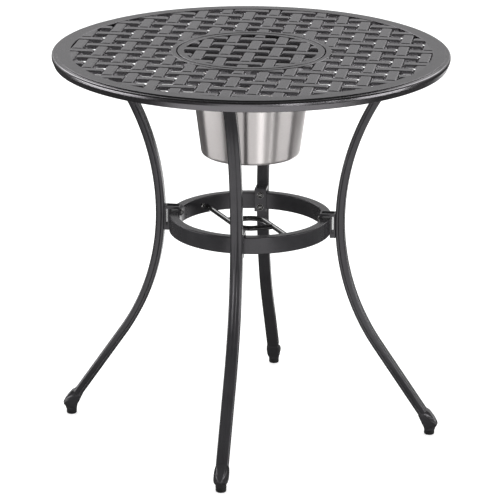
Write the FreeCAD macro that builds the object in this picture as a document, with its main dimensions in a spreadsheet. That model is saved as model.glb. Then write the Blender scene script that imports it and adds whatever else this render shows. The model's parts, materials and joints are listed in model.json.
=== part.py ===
import FreeCAD, Part
import Sketcher
import math
import os

# Round patio table with a basket-weave top and an ice bucket that hangs in its middle.
# Millimetres, +Z up, origin on the floor under the centre of the top.
# The four legs stand on the X and Y axes, and the front leg is the one on -Y.

doc = FreeCAD.newDocument("IceBucketTable")
sheet = doc.addObject("Spreadsheet::Sheet", "Sizes")

SIZES = (
    # Overall
    ("table_height", 711.0),
    ("top_diameter", 711.0),
    # Rim of the top: a flat band, a small step, a bullnose and a tapered skirt
    ("band_width", 24.0),
    ("step_inset", 8.5),
    ("step_depth", 2.0),
    ("step_run", 1.2),
    ("bullnose_radius", 7.0),
    ("skirt_drop", 19.5),
    ("skirt_taper", 4.0),
    ("skirt_wall", 4.5),
    # Basket weave
    ("weave_pitch", 44.4),
    ("weave_thickness", 8.0),
    ("weave_drop", 0.6),
    ("tile_rise", 2.4),
    ("tile_slope", 24.0),
    ("strap_long_width", 20.0),
    ("strap_cross_width", 18.0),
    ("tile_long_length", 64.0),
    ("tile_cross_length", 66.0),
    ("weave_overlap", 3.0),
    ("casting_gap", 0.3),
    # Collar round the bucket's opening
    ("opening_radius", 134.0),
    ("collar_width", 9.5),
    ("collar_wall", 4.0),
    ("ledge_depth", 10.0),
    ("ledge_thickness", 3.0),
    ("ledge_radius", 117.0),
    # Bucket and lid
    ("lid_gap", 2.5),
    ("lid_band", 11.5),
    ("flange_inset", 2.0),
    ("flange_thickness", 1.2),
    ("bucket_radius", 112.2),
    ("bucket_base_radius", 88.5),
    ("bucket_depth", 180.0),
    ("bucket_wall", 1.0),
    ("bucket_corner", 8.0),
    ("bucket_corner_ease", 0.6),
    ("sheet_seam", 0.2),
    # Legs: one section bent in two arcs from the waist, then straight to the shoe
    ("leg_width", 22.0),
    ("leg_depth", 16.5),
    ("leg_corner", 2.5),
    ("groove_half", 2.6),
    ("groove_radius", 3.2),
    ("side_groove_offset", 2.2),
    ("side_groove_half", 0.9),
    ("side_groove_depth", 1.2),
    ("waist_height", 402.0),
    ("waist_radius", 164.6),
    ("upper_bend", 455.0),
    ("lower_bend", 415.0),
    ("leg_splay", 34.2),
    ("leg_run", 153.0),
    # Plates on the leg tops and their bolts
    ("boss_radius", 8.0),
    ("boss_length", 10.0),
    ("boss_columns", 6.0),
    ("plate_length", 66.0),
    ("plate_width", 32.0),
    ("plate_thickness", 5.0),
    ("plate_corner", 5.0),
    ("screw_radius", 3.0),
    ("screw_play", 0.15),
    ("screw_end_gap", 1.0),
    ("hex_across_flats", 10.0),
    ("hex_height", 4.0),
    # Spreader ring
    ("ring_radius", 147.5),
    ("ring_width", 16.5),
    ("ring_base", 376.0),
    ("ring_height", 31.0),
    ("ring_edge", 2.0),
    # Brackets between the legs and the ring
    ("bracket_width", 22.0),
    ("bracket_plate", 2.8),
    ("bracket_slot", 3.0),
    ("bracket_slot_base", 4.0),
    ("bracket_drop", 5.0),
    ("arm_gap", 4.0),
    ("arm_thickness", 4.5),
    ("arm_recess", 2.2),
    ("arm_recess_side", 3.5),
    ("leaf_thickness", 3.0),
    ("bolt_inset", 4.0),
    ("bolt_head_radius", 5.5),
    ("bolt_head_height", 4.2),
    ("washer_radius", 6.5),
    ("washer_thickness", 1.2),
    # Pole guide of two hooked rods
    ("rod_diameter", 9.5),
    ("loop_radius", 30.6),
    ("loop_sweep", 83.2),
    ("guide_height", 388.0),
    ("guide_azimuth", 301.8),
    ("guide_bolt_turn", 5.0),
    ("guide_bolt_rise", 3.5),
    # Shoes and glides
    ("shoe_margin", 1.0),
    ("shoe_bulge", 60.0),
    ("toe_radius", 350.5),
    ("toe_height", 21.5),
    ("toe_undercut", 4.0),
    ("toe_drop", 9.0),
    ("nose_flat", 2.6),
    ("shoe_width", 26.0),
    ("shoe_wide_height", 33.0),
    ("sole_width", 19.5),
    ("glide_position", 335.2),
    ("glide_radius", 9.6),
    ("glide_height", 7.0),
    ("glide_edge", 2.0),
    ("glide_stem_radius", 3.5),
    ("glide_stem_length", 14.0),
    # How far cutting profiles run past the metal
    ("cut_past", 2.0),
    ("cut_frame", 20.0),
)


class Size:
    """A length or an angle as a number and as an expression on the sheet."""

    def __init__(self, value, text):
        self.value = value
        self.text = text

    @staticmethod
    def of(item):
        if isinstance(item, Size):
            return item
        return Size(float(item), repr(float(item)))

    def mix(self, other, sign, value):
        return Size(value, "(" + self.text + " " + sign + " " + other.text + ")")

    def __add__(self, other):
        other = Size.of(other)
        return self.mix(other, "+", self.value + other.value)

    def __sub__(self, other):
        other = Size.of(other)
        return self.mix(other, "-", self.value - other.value)

    def __mul__(self, other):
        other = Size.of(other)
        return self.mix(other, "*", self.value * other.value)

    def __truediv__(self, other):
        other = Size.of(other)
        return self.mix(other, "/", self.value / other.value)

    def __radd__(self, other):
        return Size.of(other) + self

    def __rsub__(self, other):
        return Size.of(other) - self

    def __rmul__(self, other):
        return Size.of(other) * self

    def __neg__(self):
        return Size.of(0) - self


def root(size):
    return Size(math.sqrt(size.value), "sqrt(" + size.text + ")")


def sine(size):
    return Size(math.sin(math.radians(size.value)), "sin(" + size.text + ")")


def cosine(size):
    return Size(math.cos(math.radians(size.value)), "cos(" + size.text + ")")


def arcsine(size):
    return Size(math.degrees(math.asin(size.value)), "(asin(" + size.text + ") / 1 deg)")


class Sizes:
    """The named sizes, each one readable as an attribute."""


S = Sizes()
for row, (name, value) in enumerate(SIZES, start=1):
    sheet.set("A%d" % row, name)
    sheet.set("B%d" % row, repr(value))
    sheet.setAlias("B%d" % row, name)
    setattr(S, name, Size(value, "Sizes." + name))
doc.recompute()

PARTS = []


def new_part(label, azimuth=0.0):
    """A body with its file name as its label, turned about Z to the given azimuth."""
    body = doc.addObject("PartDesign::Body", label)
    body.Label = label
    turn = Size.of(azimuth)
    about_axis = FreeCAD.Rotation(FreeCAD.Vector(0, 0, 1), turn.value)
    body.Placement = FreeCAD.Placement(FreeCAD.Vector(), about_axis)
    if isinstance(azimuth, Size):
        body.setExpression("Placement.Rotation.Angle", turn.text)
    PARTS.append(body)
    return body


def bind(item, name, size):
    """Set a property to a size, as a number now and as an expression for later changes."""
    setattr(item, name, size.value)
    item.setExpression(name, size.text)


def sketch_on(body, name, role, offset=0.0):
    """An empty sketch on one of the body's origin planes, moved along the plane's normal."""
    sketch = body.newObject("Sketcher::SketchObject", body.Label + "_" + name)
    plane = [item for item in body.Origin.OriginFeatures if item.Role == role][0]
    sketch.AttachmentSupport = [(plane, "")]
    sketch.MapMode = "FlatFace"
    shift = Size.of(offset)
    sketch.AttachmentOffset = FreeCAD.Placement(FreeCAD.Vector(0, 0, shift.value), FreeCAD.Rotation())
    if isinstance(offset, Size):
        sketch.setExpression("AttachmentOffset.Base.z", shift.text)
    return sketch


def pin(sketch, edge, end, point):
    """Fix one end of an edge to a point given by two sizes."""
    for axis, kind, size in ((-2, "DistanceX", point[0]), (-1, "DistanceY", point[1])):
        size = Size.of(size)
        if size.text == "0.0":
            sketch.addConstraint(Sketcher.Constraint("PointOnObject", edge, end, axis))
        else:
            index = sketch.addConstraint(Sketcher.Constraint(kind, -1, 1, edge, end, size.value))
            sketch.setExpression("Constraints[%d]" % index, size.text)


def vector(point):
    return FreeCAD.Vector(Size.of(point[0]).value, Size.of(point[1]).value, 0)


def arc_between(start, finish, radius, side):
    """The shorter arc of one radius between two points, with its centre on the given side."""
    chord = finish - start
    middle = (start + finish) * 0.5
    height = math.sqrt(max(radius * radius - chord.Length * chord.Length / 4, 0))
    across = FreeCAD.Vector(-chord.y, chord.x, 0).normalize()
    centre = middle + across * (height * side)
    ends = (start, finish) if side > 0 else (finish, start)
    angles = [math.atan2(end.y - centre.y, end.x - centre.x) for end in ends]
    return Part.ArcOfCircle(Part.Circle(centre, FreeCAD.Vector(0, 0, 1), radius), angles[0], angles[1])


def outline(sketch, points, arcs=None, closed=True):
    """Lines through points; arcs maps an edge's number to (radius, +1 left or -1 right centre)."""
    arcs = arcs or {}
    count = len(points) if closed else len(points) - 1
    first = sketch.GeometryCount
    ends = []
    for number in range(count):
        start = vector(points[number])
        finish = vector(points[(number + 1) % len(points)])
        if number in arcs:
            radius, side = arcs[number]
            radius = Size.of(radius)
            edge = sketch.addGeometry(arc_between(start, finish, radius.value, side), False)
            index = sketch.addConstraint(Sketcher.Constraint("Radius", edge, radius.value))
            sketch.setExpression("Constraints[%d]" % index, radius.text)
            ends.append((1, 2) if side > 0 else (2, 1))
        else:
            edge = sketch.addGeometry(Part.LineSegment(start, finish), False)
            ends.append((1, 2))
        pin(sketch, edge, ends[-1][0], points[number])
    for number in range(count):
        if closed or number < count - 1:
            after = (number + 1) % count
            sketch.addConstraint(Sketcher.Constraint(
                "Coincident", first + number, ends[number][1], first + after, ends[after][0]))
    if not closed:
        pin(sketch, first + count - 1, ends[-1][1], points[-1])
    return first


def circle(sketch, point, radius):
    radius = Size.of(radius)
    edge = sketch.addGeometry(Part.Circle(vector(point), FreeCAD.Vector(0, 0, 1), radius.value), False)
    index = sketch.addConstraint(Sketcher.Constraint("Radius", edge, radius.value))
    sketch.setExpression("Constraints[%d]" % index, radius.text)
    pin(sketch, edge, 3, point)
    return edge


def rounded_rectangle(sketch, left, bottom, right, top, corner):
    points = (
        (left + corner, bottom), (right - corner, bottom),
        (right, bottom + corner), (right, top - corner),
        (right - corner, top), (left + corner, top),
        (left, top - corner), (left, bottom + corner),
    )
    outline(sketch, points, {1: (corner, 1), 3: (corner, 1), 5: (corner, 1), 7: (corner, 1)})


def feature(body, kind, name, profile, **settings):
    item = body.newObject("PartDesign::" + kind, body.Label + "_" + name)
    item.Profile = profile
    item.Refine = False
    for key, setting in settings.items():
        if isinstance(setting, Size):
            bind(item, key, setting)
        else:
            setattr(item, key, setting)
    return item


def pad(body, name, profile, length, symmetric=False, **settings):
    settings["SideType"] = "Symmetric" if symmetric else "One side"
    return feature(body, "Pad", name, profile, Length=Size.of(length), **settings)


def pocket(body, name, profile, length, symmetric=False, **settings):
    """A cut that must take something away: the volume is compared before and after."""
    doc.recompute()
    before = body.Shape.Volume
    settings["SideType"] = "Symmetric" if symmetric else "One side"
    item = feature(body, "Pocket", name, profile, Length=Size.of(length), **settings)
    doc.recompute()
    if not body.Shape.Volume < before - 0.01:
        raise ValueError(item.Name + " cuts nothing")
    return item


def revolve(body, name, profile, axis="V_Axis"):
    item = feature(body, "Revolution", name, profile)
    item.ReferenceAxis = (profile, [axis])
    item.Angle = 360
    return item


def axis_of(body, role):
    return [item for item in body.Origin.OriginFeatures if item.Role == role][0]


def around(body, name, originals, count):
    """Copies of features round the body's Z axis."""
    item = body.newObject("PartDesign::PolarPattern", body.Label + "_" + name)
    item.Originals = originals
    item.Axis = (axis_of(body, "Z_Axis"), [""])
    item.Angle = 360
    item.Occurrences = count
    item.Refine = False
    body.Tip = item
    return item


# Heights and radii that several pieces share
top = S.table_height
top_radius = S.top_diameter / 2
band_inner = top_radius - S.step_inset - S.band_width
weave_top = top - S.weave_drop
weave_base = top - S.weave_thickness
strap_top = weave_top - S.tile_rise
collar_outer = S.opening_radius + S.collar_width
ledge_top = top - S.ledge_depth
lid_base = ledge_top + S.flange_thickness
lid_radius = S.opening_radius - S.lid_gap
bucket_base = ledge_top - S.bucket_depth
bucket_flat = S.bucket_base_radius - S.bucket_corner
boss_base = weave_base - S.boss_length
plate_base = boss_base - S.plate_thickness
plate_radius = S.weave_pitch * S.boss_columns
ring_top = S.ring_base + S.ring_height
ring_inner = S.ring_radius - S.ring_width
leg_face = S.waist_radius - S.leg_depth / 2
arm_base = ring_top + S.arm_gap
arm_top = arm_base + S.arm_thickness
leaf_inner = ring_inner - S.leaf_thickness
plate_face = S.ring_radius + S.bracket_plate
bolt_heights = (S.ring_base + S.bolt_inset, ring_top - S.bolt_inset)
guide_bolt_tip = S.ring_radius - S.leaf_thickness
guide_bolt_azimuth = S.guide_azimuth - 180 + arcsine(S.loop_radius / ring_inner) + S.guide_bolt_turn
guide_bolt_seat = root(ring_inner * ring_inner - S.bolt_head_radius * S.bolt_head_radius)


def rectangle(x, y, half_x, half_y, z):
    corners = ((-1, -1), (1, -1), (1, 1), (-1, 1), (-1, -1))
    return Part.makePolygon([FreeCAD.Vector(x + half_x * a, y + half_y * b, z) for a, b in corners])


def reach(x, y, half_x, half_y):
    """Nearest and farthest distance of a rectangle from the axis."""
    near = math.hypot(max(0, abs(x) - half_x), max(0, abs(y) - half_y))
    return near, math.hypot(abs(x) + half_x, abs(y) + half_y)


def woven_disc(inner, outer):
    """Basket weave between two radii: a pierced plate with a raised tile on each crossing.

    The straps cross on a square pitch. The tile runs along Y where column plus row is odd
    and along X where it is even, so each strap passes over and under by turns. Tiles end
    short of the next one, and their sides slope.
    """
    pitch = S.weave_pitch.value
    low, middle, high = weave_base.value, strap_top.value, weave_top.value
    half_long, half_cross = S.strap_long_width.value / 2, S.strap_cross_width.value / 2
    inset = S.tile_rise.value * math.tan(math.radians(S.tile_slope.value))
    cells = int(outer / pitch) + 1

    face = Part.Face(Part.Wire(Part.makeCircle(outer, FreeCAD.Vector(0, 0, low))))
    ring = Part.makeCylinder(outer, high - middle, FreeCAD.Vector(0, 0, middle))
    if inner:
        face = face.cut(Part.Face(Part.Wire(Part.makeCircle(inner, FreeCAD.Vector(0, 0, low)))))
        ring = ring.cut(Part.makeCylinder(inner, high - middle, FreeCAD.Vector(0, 0, middle)))

    whole, crossing = [], []
    for column in range(-cells, cells):
        for row in range(-cells, cells):
            centre = ((column + 0.5) * pitch, (row + 0.5) * pitch)
            place = centre + (pitch / 2 - half_long, pitch / 2 - half_cross)
            near, far = reach(*place)
            if near > inner and far < outer:
                whole.append(rectangle(*place, low))
            elif near < outer and far > inner:
                crossing.append(Part.Face(rectangle(*place, low)))
    if crossing:
        face = face.cut(crossing).Faces[0]
    bounds = [wire for wire in face.Wires if not wire.isSame(face.OuterWire)]
    face = Part.Face([face.OuterWire] + bounds + whole)
    face.validate()
    plate = face.extrude(FreeCAD.Vector(0, 0, middle - low))

    tiles = []
    for column in range(-cells, cells + 1):
        for row in range(-cells, cells + 1):
            if (column + row) % 2:
                half_x, half_y = half_long, S.tile_long_length.value / 2
            else:
                half_x, half_y = S.tile_cross_length.value / 2, half_cross
            x, y = column * pitch, row * pitch
            near, far = reach(x, y, half_x, half_y)
            if near >= outer or far <= inner:
                continue
            base = rectangle(x, y, half_x, half_y, middle)
            crown = rectangle(x, y, half_x - inset, half_y - inset, high)
            tile = Part.makeLoft([base, crown], True, True)
            if near < inner or far > outer:
                tile = tile.common(ring)
            tiles.extend(tile.Solids)
    return plate.fuse(Part.makeCompound(tiles))


def weave_feature(name, inner, outer):
    item = doc.addObject("Part::Feature", name)
    item.Shape = woven_disc(Size.of(inner).value, Size.of(outer).value)
    return item


def joined(label, members):
    """Fuse a weave and a turned body into one casting."""
    item = doc.addObject("Part::MultiFuse", label)
    item.Label = label
    item.Shapes = members
    item.Refine = False
    PARTS.append(item)
    return item


def frame_body(name):
    body = new_part(name)
    PARTS.remove(body)
    return body


def build_rim():
    body = new_part("tabletop_rim")
    rim = sketch_on(body, "rim", "XZ_Plane")
    step = top_radius - S.step_inset
    nose = top_radius - S.bullnose_radius
    crown = top - S.step_depth
    side = crown - S.bullnose_radius
    foot = top - S.skirt_drop
    outline(rim, (
        (band_inner, weave_base), (top_radius - S.skirt_taper - S.skirt_wall, weave_base),
        (top_radius - S.skirt_taper - S.skirt_wall, foot), (top_radius - S.skirt_taper, foot),
        (top_radius, side), (nose, crown), (step + S.step_run, crown), (step, top), (band_inner, top),
    ), {4: (S.bullnose_radius, 1)})
    revolve(body, "rim_casting", rim)


def build_collar():
    body = new_part("tabletop_collar")
    collar = sketch_on(body, "collar", "XZ_Plane")
    wall = S.opening_radius + S.collar_wall
    under = ledge_top - S.ledge_thickness
    outline(collar, (
        (S.ledge_radius, under), (wall, under), (wall, weave_base), (collar_outer, weave_base),
        (collar_outer, top), (S.opening_radius, top), (S.opening_radius, ledge_top),
        (S.ledge_radius, ledge_top),
    ))
    revolve(body, "collar_casting", collar)


def build_top_weave():
    """The weave between collar and rim, with the bosses for the legs' bolts under it."""
    body = frame_body("leg_bosses")
    bosses = sketch_on(body, "bosses", "XY_Plane", boss_base)
    for side in (-1, 1):
        centre = (plate_radius, S.weave_pitch / 2 * side)
        circle(bosses, centre, S.boss_radius)
        circle(bosses, centre, S.screw_radius + S.screw_play)
    boss = pad(body, "boss", bosses, S.boss_length)
    around(body, "boss_copies", [boss], 4)
    disc = weave_feature("woven_top", collar_outer + S.casting_gap, band_inner - S.casting_gap)
    joined("tabletop_weave", [disc, body])


def build_lid():
    body = frame_body("lid_band")
    band = sketch_on(body, "band", "XZ_Plane")
    inner = lid_radius - S.lid_band
    outline(band, ((inner, lid_base), (lid_radius, lid_base), (lid_radius, top), (inner, top)))
    revolve(body, "band_casting", band)
    joined("bucket_lid", [weave_feature("lid_weave", 0, inner + S.weave_overlap), body])


def build_bucket_wall():
    """Spun wall: round the corner from the floor's edge and up the slope to the mouth."""
    body = new_part("ice_bucket_wall")
    section = sketch_on(body, "section", "XZ_Plane")
    slope = (S.bucket_radius - S.bucket_base_radius) / S.bucket_depth
    knee = S.bucket_base_radius + slope * S.bucket_corner
    inside = bucket_base + S.bucket_wall
    outline(section, (
        (bucket_flat, bucket_base), (knee, bucket_base + S.bucket_corner),
        (S.bucket_radius, ledge_top), (S.bucket_radius, lid_base),
        (S.bucket_radius - S.bucket_wall, lid_base),
        (knee - S.bucket_wall, bucket_base + S.bucket_corner), (bucket_flat, inside),
    ), {0: (S.bucket_corner + S.bucket_corner_ease, 1),
        5: (S.bucket_corner - S.bucket_wall + S.bucket_corner_ease, -1)})
    revolve(body, "spinning", section)


def build_bucket_floor():
    body = new_part("ice_bucket_floor")
    disc = sketch_on(body, "disc", "XY_Plane", bucket_base)
    circle(disc, (0, 0), bucket_flat - S.sheet_seam)
    pad(body, "floor", disc, S.bucket_wall)


def build_bucket_flange():
    """Flat ring that hangs on the collar's ledge and carries the lid."""
    body = new_part("ice_bucket_flange")
    ring = sketch_on(body, "ring", "XY_Plane", ledge_top)
    circle(ring, (0, 0), S.bucket_radius + S.sheet_seam)
    circle(ring, (0, 0), lid_radius - S.flange_inset)
    pad(body, "flange", ring, S.flange_thickness)


def leg_section(body, name, x, z, lean):
    """The bar's section square to its axis, which leans outward going down; x is outward."""
    sketch = sketch_on(body, name, "XY_Plane")
    sketch.AttachmentOffset = FreeCAD.Placement(
        FreeCAD.Vector(x.value, 0, z.value), FreeCAD.Rotation(FreeCAD.Vector(0, -1, 0), lean.value))
    sketch.setExpression("AttachmentOffset.Base.x", x.text)
    sketch.setExpression("AttachmentOffset.Base.z", z.text)
    if lean.value:
        sketch.setExpression("AttachmentOffset.Rotation.Angle", lean.text)
    outer = S.leg_depth / 2
    half = S.leg_width / 2
    groove = -S.side_groove_offset
    deep = half - S.side_groove_depth
    outline(sketch, (
        (-outer + S.leg_corner, -half), (groove - S.side_groove_half, -half), (groove, -deep),
        (groove + S.side_groove_half, -half), (outer - S.leg_corner, -half),
        (outer, -half + S.leg_corner), (outer, -S.groove_half), (outer, S.groove_half),
        (outer, half - S.leg_corner), (outer - S.leg_corner, half),
        (groove + S.side_groove_half, half), (groove, deep), (groove - S.side_groove_half, half),
        (-outer + S.leg_corner, half), (-outer, half - S.leg_corner), (-outer, -half + S.leg_corner),
    ), {6: (S.groove_radius, -1), 13: (S.leg_corner, 1), 15: (S.leg_corner, 1)})
    return sketch


def bend_axis(sketch, radius):
    """A construction line across the section at the bend's centre."""
    ends = ((radius, -S.leg_width), (radius, S.leg_width))
    line = sketch.addGeometry(Part.LineSegment(vector(ends[0]), vector(ends[1])), True)
    pin(sketch, line, 1, ends[0])
    pin(sketch, line, 2, ends[1])


def build_leg(label, azimuth):
    """One grooved bar: two arcs that meet upright at the waist, then straight to the shoe."""
    body = new_part(label, azimuth)
    rise = plate_base - S.waist_height
    for name, radius, turn, downward in (
            ("upper", S.upper_bend, arcsine(rise / S.upper_bend) + 1, False),
            ("lower", S.lower_bend, S.leg_splay, True)):
        section = leg_section(body, name + "_section", S.waist_radius, S.waist_height, Size.of(0))
        bend_axis(section, radius)
        bend = feature(body, "Revolution", name + "_bend", section)
        bend.ReferenceAxis = (section, ["Axis0"])
        bind(bend, "Angle", turn)
        bend.Reversed = downward
    x, z = leg_bend_end()
    run = leg_section(body, "run_section", x, z, S.leg_splay)
    pad(body, "run", run, S.leg_run, Reversed=True)
    level = sketch_on(body, "top_cut", "XY_Plane", plate_base)
    circle(level, (plate_radius, 0), S.leg_width * 2)
    pocket(body, "top_level", level, S.leg_width, Reversed=True)


def leg_bend_end():
    return (S.waist_radius + S.lower_bend * (1 - cosine(S.leg_splay)),
            S.waist_height - S.lower_bend * sine(S.leg_splay))


def leg_end(across=0.0, along=0.0):
    """The leg's end on its axis, or a point beside it: across is outward, along is downward."""
    x, z = leg_bend_end()
    across, along = Size.of(across), Size.of(along)
    run = S.leg_run + along
    return (x + run * sine(S.leg_splay) + across * cosine(S.leg_splay),
            z - run * cosine(S.leg_splay) + across * sine(S.leg_splay))


def build_leg_plate(label, azimuth):
    body = new_part(label, azimuth)
    face = sketch_on(body, "face", "XY_Plane", plate_base)
    rounded_rectangle(face, plate_radius - S.plate_width / 2, -S.plate_length / 2,
                      plate_radius + S.plate_width / 2, S.plate_length / 2, S.plate_corner)
    for side in (-1, 1):
        circle(face, (plate_radius, S.weave_pitch / 2 * side), S.screw_radius + S.screw_play * 2)
    pad(body, "plate", face, S.plate_thickness)


def build_plate_bolts():
    """Hex heads under the plates, shanks up into the bosses."""
    body = new_part("leg_plate_bolts")
    heads = sketch_on(body, "heads", "XY_Plane", plate_base)
    corner = S.hex_across_flats / root(Size.of(3))
    for side in (-1, 1):
        x, y = plate_radius, S.weave_pitch / 2 * side
        outline(heads, (
            (x + corner, y), (x + corner / 2, y + S.hex_across_flats / 2),
            (x - corner / 2, y + S.hex_across_flats / 2), (x - corner, y),
            (x - corner / 2, y - S.hex_across_flats / 2), (x + corner / 2, y - S.hex_across_flats / 2)))
    head = pad(body, "head", heads, S.hex_height, Reversed=True)
    shanks = sketch_on(body, "shanks", "XY_Plane", plate_base)
    for side in (-1, 1):
        circle(shanks, (plate_radius, S.weave_pitch / 2 * side), S.screw_radius)
    shank = pad(body, "shank", shanks, S.plate_thickness + S.boss_length - S.screw_end_gap)
    around(body, "copies", [head, shank], 4)


def build_ring():
    body = new_part("spreader_ring")
    section = sketch_on(body, "section", "XZ_Plane")
    rounded_rectangle(section, ring_inner, S.ring_base, S.ring_radius, ring_top, S.ring_edge)
    revolve(body, "band", section)
    for number, height in enumerate(bolt_heights):
        bore_at(body, "bore_%d" % number, height, ring_inner - S.cut_past, S.ring_width + S.cut_past * 2)
    for name, turn in (("guide_bore_a", guide_bolt_azimuth), ("guide_bore_b", guide_bolt_azimuth + 180)):
        guide_bore(body, name, turn)


def guide_bore(body, name, turn):
    """A blind bore in the ring's inner wall for a bolt beside a rod's end."""
    drill = sketch_on(body, name + "_half", "XY_Plane", S.guide_height + S.guide_bolt_rise)
    near, far = ring_inner - S.cut_past, guide_bolt_tip + S.screw_end_gap
    radius = S.screw_radius + S.screw_play * 2
    along, across = (cosine(turn), sine(turn)), (-sine(turn), cosine(turn))
    outline(drill, [
        (along[0] * reach_x + across[0] * reach_y, along[1] * reach_x + across[1] * reach_y)
        for reach_x, reach_y in ((near, Size.of(0)), (far, Size.of(0)), (far, radius), (near, radius))])
    before = body.Shape.Volume
    hole = feature(body, "Groove", name, drill)
    hole.ReferenceAxis = (drill, ["Edge1"])
    hole.Angle = 360
    doc.recompute()
    if not body.Shape.Volume < before - 0.01:
        raise ValueError(hole.Name + " cuts nothing")


def bore_at(body, name, height, start, length, copies=4):
    """A radial screw bore along X at a height, repeated at each leg."""
    drill = sketch_on(body, name + "_circle", "YZ_Plane", start)
    circle(drill, (0, height), S.screw_radius + S.screw_play * 2)
    hole = pocket(body, name, drill, length, Reversed=True)
    if copies > 1:
        around(body, name + "_copies", [hole], copies)


def build_bracket(label, azimuth):
    """Cast clamp: pad on the leg, slot, plate outside the ring, arm over it, leaf inside it."""
    body = new_part(label, azimuth)
    side = sketch_on(body, "side", "XZ_Plane")
    low = S.ring_base - S.bracket_drop
    slot_low = S.ring_base + S.bracket_slot_base
    slot_outer = plate_face + S.bracket_slot
    drop = S.waist_height - low
    rise = arm_top - S.waist_height
    lower_face = S.lower_bend + S.leg_depth / 2
    upper_face = S.upper_bend + S.leg_depth / 2
    foot = leg_face + lower_face - root(lower_face * lower_face - drop * drop)
    head = leg_face + upper_face - root(upper_face * upper_face - rise * rise)
    inside = S.ring_radius - S.bracket_plate / 3
    outline(side, (
        (inside, low), (foot, low), (leg_face, S.waist_height), (head, arm_top),
        (leaf_inner, arm_top), (leaf_inner, low), (ring_inner, low), (ring_inner, arm_base),
        (inside, arm_base),
    ), {1: (lower_face, -1), 2: (upper_face, -1)})
    pad(body, "clamp", side, S.bracket_width, symmetric=True)
    slot = sketch_on(body, "slot", "XZ_Plane")
    outline(slot, (
        (plate_face, slot_low), (slot_outer, slot_low), (slot_outer, arm_base), (plate_face, arm_base)))
    pocket(body, "slot_cut", slot, S.bracket_width + S.cut_past, symmetric=True)
    bed = sketch_on(body, "bed", "XY_Plane", low - S.cut_past)
    circle(bed, (0, 0), ring_inner)
    circle(bed, (0, 0), S.ring_radius)
    pocket(body, "bed_cut", bed, arm_base - low + S.cut_past, Reversed=True)
    recess = sketch_on(body, "recess", "XY_Plane", arm_top)
    half = S.bracket_width / 2 - S.arm_recess_side
    outline(recess, ((ring_inner, -half), (slot_outer, -half), (slot_outer, half), (ring_inner, half)))
    pocket(body, "recess_cut", recess, S.arm_recess)
    for number, height in enumerate(bolt_heights):
        bore_at(body, "bore_%d" % number, height, leaf_inner - S.cut_past,
                plate_face - leaf_inner + S.cut_past * 2, copies=1)


def build_bolt_group(label, seat, heights, tip, azimuth=0.0, copies=4):
    """Dome-head bolts that point outward along X, repeated round the ring."""
    body = new_part(label, azimuth)
    made = []
    for number, height in enumerate(heights):
        section = sketch_on(body, "section_%d" % number, "XZ_Plane")
        dome = S.bolt_head_radius
        rise = S.bolt_head_height
        radius = (dome * dome + rise * rise) / (rise * 2)
        first = outline(section, (
            (seat - rise, height), (tip, height), (tip, height + S.screw_radius),
            (seat, height + S.screw_radius), (seat, height + dome),
        ), {4: (radius, 1)})
        made.append(revolve(body, "bolt_%d" % number, section, "Edge%d" % (first + 1)))
    around(body, "copies", made, copies)


def build_washers():
    body = new_part("ring_bracket_washers")
    made = []
    for number, height in enumerate(bolt_heights):
        face = sketch_on(body, "face_%d" % number, "YZ_Plane", leaf_inner - S.washer_thickness)
        circle(face, (0, height), S.washer_radius)
        circle(face, (0, height), S.screw_radius + S.screw_play)
        made.append(pad(body, "washer_%d" % number, face, S.washer_thickness))
    around(body, "copies", made, 4)


def build_hook(label, turned):
    """Half of the pole guide: a rod from the ring, round the loop, to the other rod's side.

    In the piece's own frame the straight arm runs along +X at -Y and meets the loop under
    the centre. The far end is coped to the other rod.
    """
    body = new_part(label, S.guide_azimuth + turned)
    start_x = -root(ring_inner * ring_inner - S.loop_radius * S.loop_radius) - S.leaf_thickness
    bend = S.loop_sweep - 90
    turn = (S.loop_radius * cosine(bend), S.loop_radius * sine(bend))
    tail = (S.loop_radius - turn[1]) / cosine(bend) - S.rod_diameter / 4
    end = (turn[0] - tail * sine(bend), turn[1] + tail * cosine(bend))
    path = sketch_on(body, "path", "XY_Plane", S.guide_height)
    outline(path, ((start_x, -S.loop_radius), (0, -S.loop_radius), turn, end),
            {1: (S.loop_radius, 1)}, closed=False)
    section = sketch_on(body, "section", "YZ_Plane", start_x)
    circle(section, (-S.loop_radius, S.guide_height), S.rod_diameter / 2)
    rod = feature(body, "AdditivePipe", "rod", section)
    rod.Spine = path
    cope = sketch_on(body, "cope", "YZ_Plane", 0.0)
    circle(cope, (S.loop_radius, S.guide_height), S.rod_diameter / 2)
    pocket(body, "cope_cut", cope, S.loop_radius * 3, Reversed=True)
    wall = sketch_on(body, "wall", "XY_Plane", S.ring_base)
    circle(wall, (0, 0), ring_inner)
    circle(wall, (0, 0), S.ring_radius)
    pocket(body, "wall_cut", wall, S.ring_height, Reversed=True)


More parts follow.
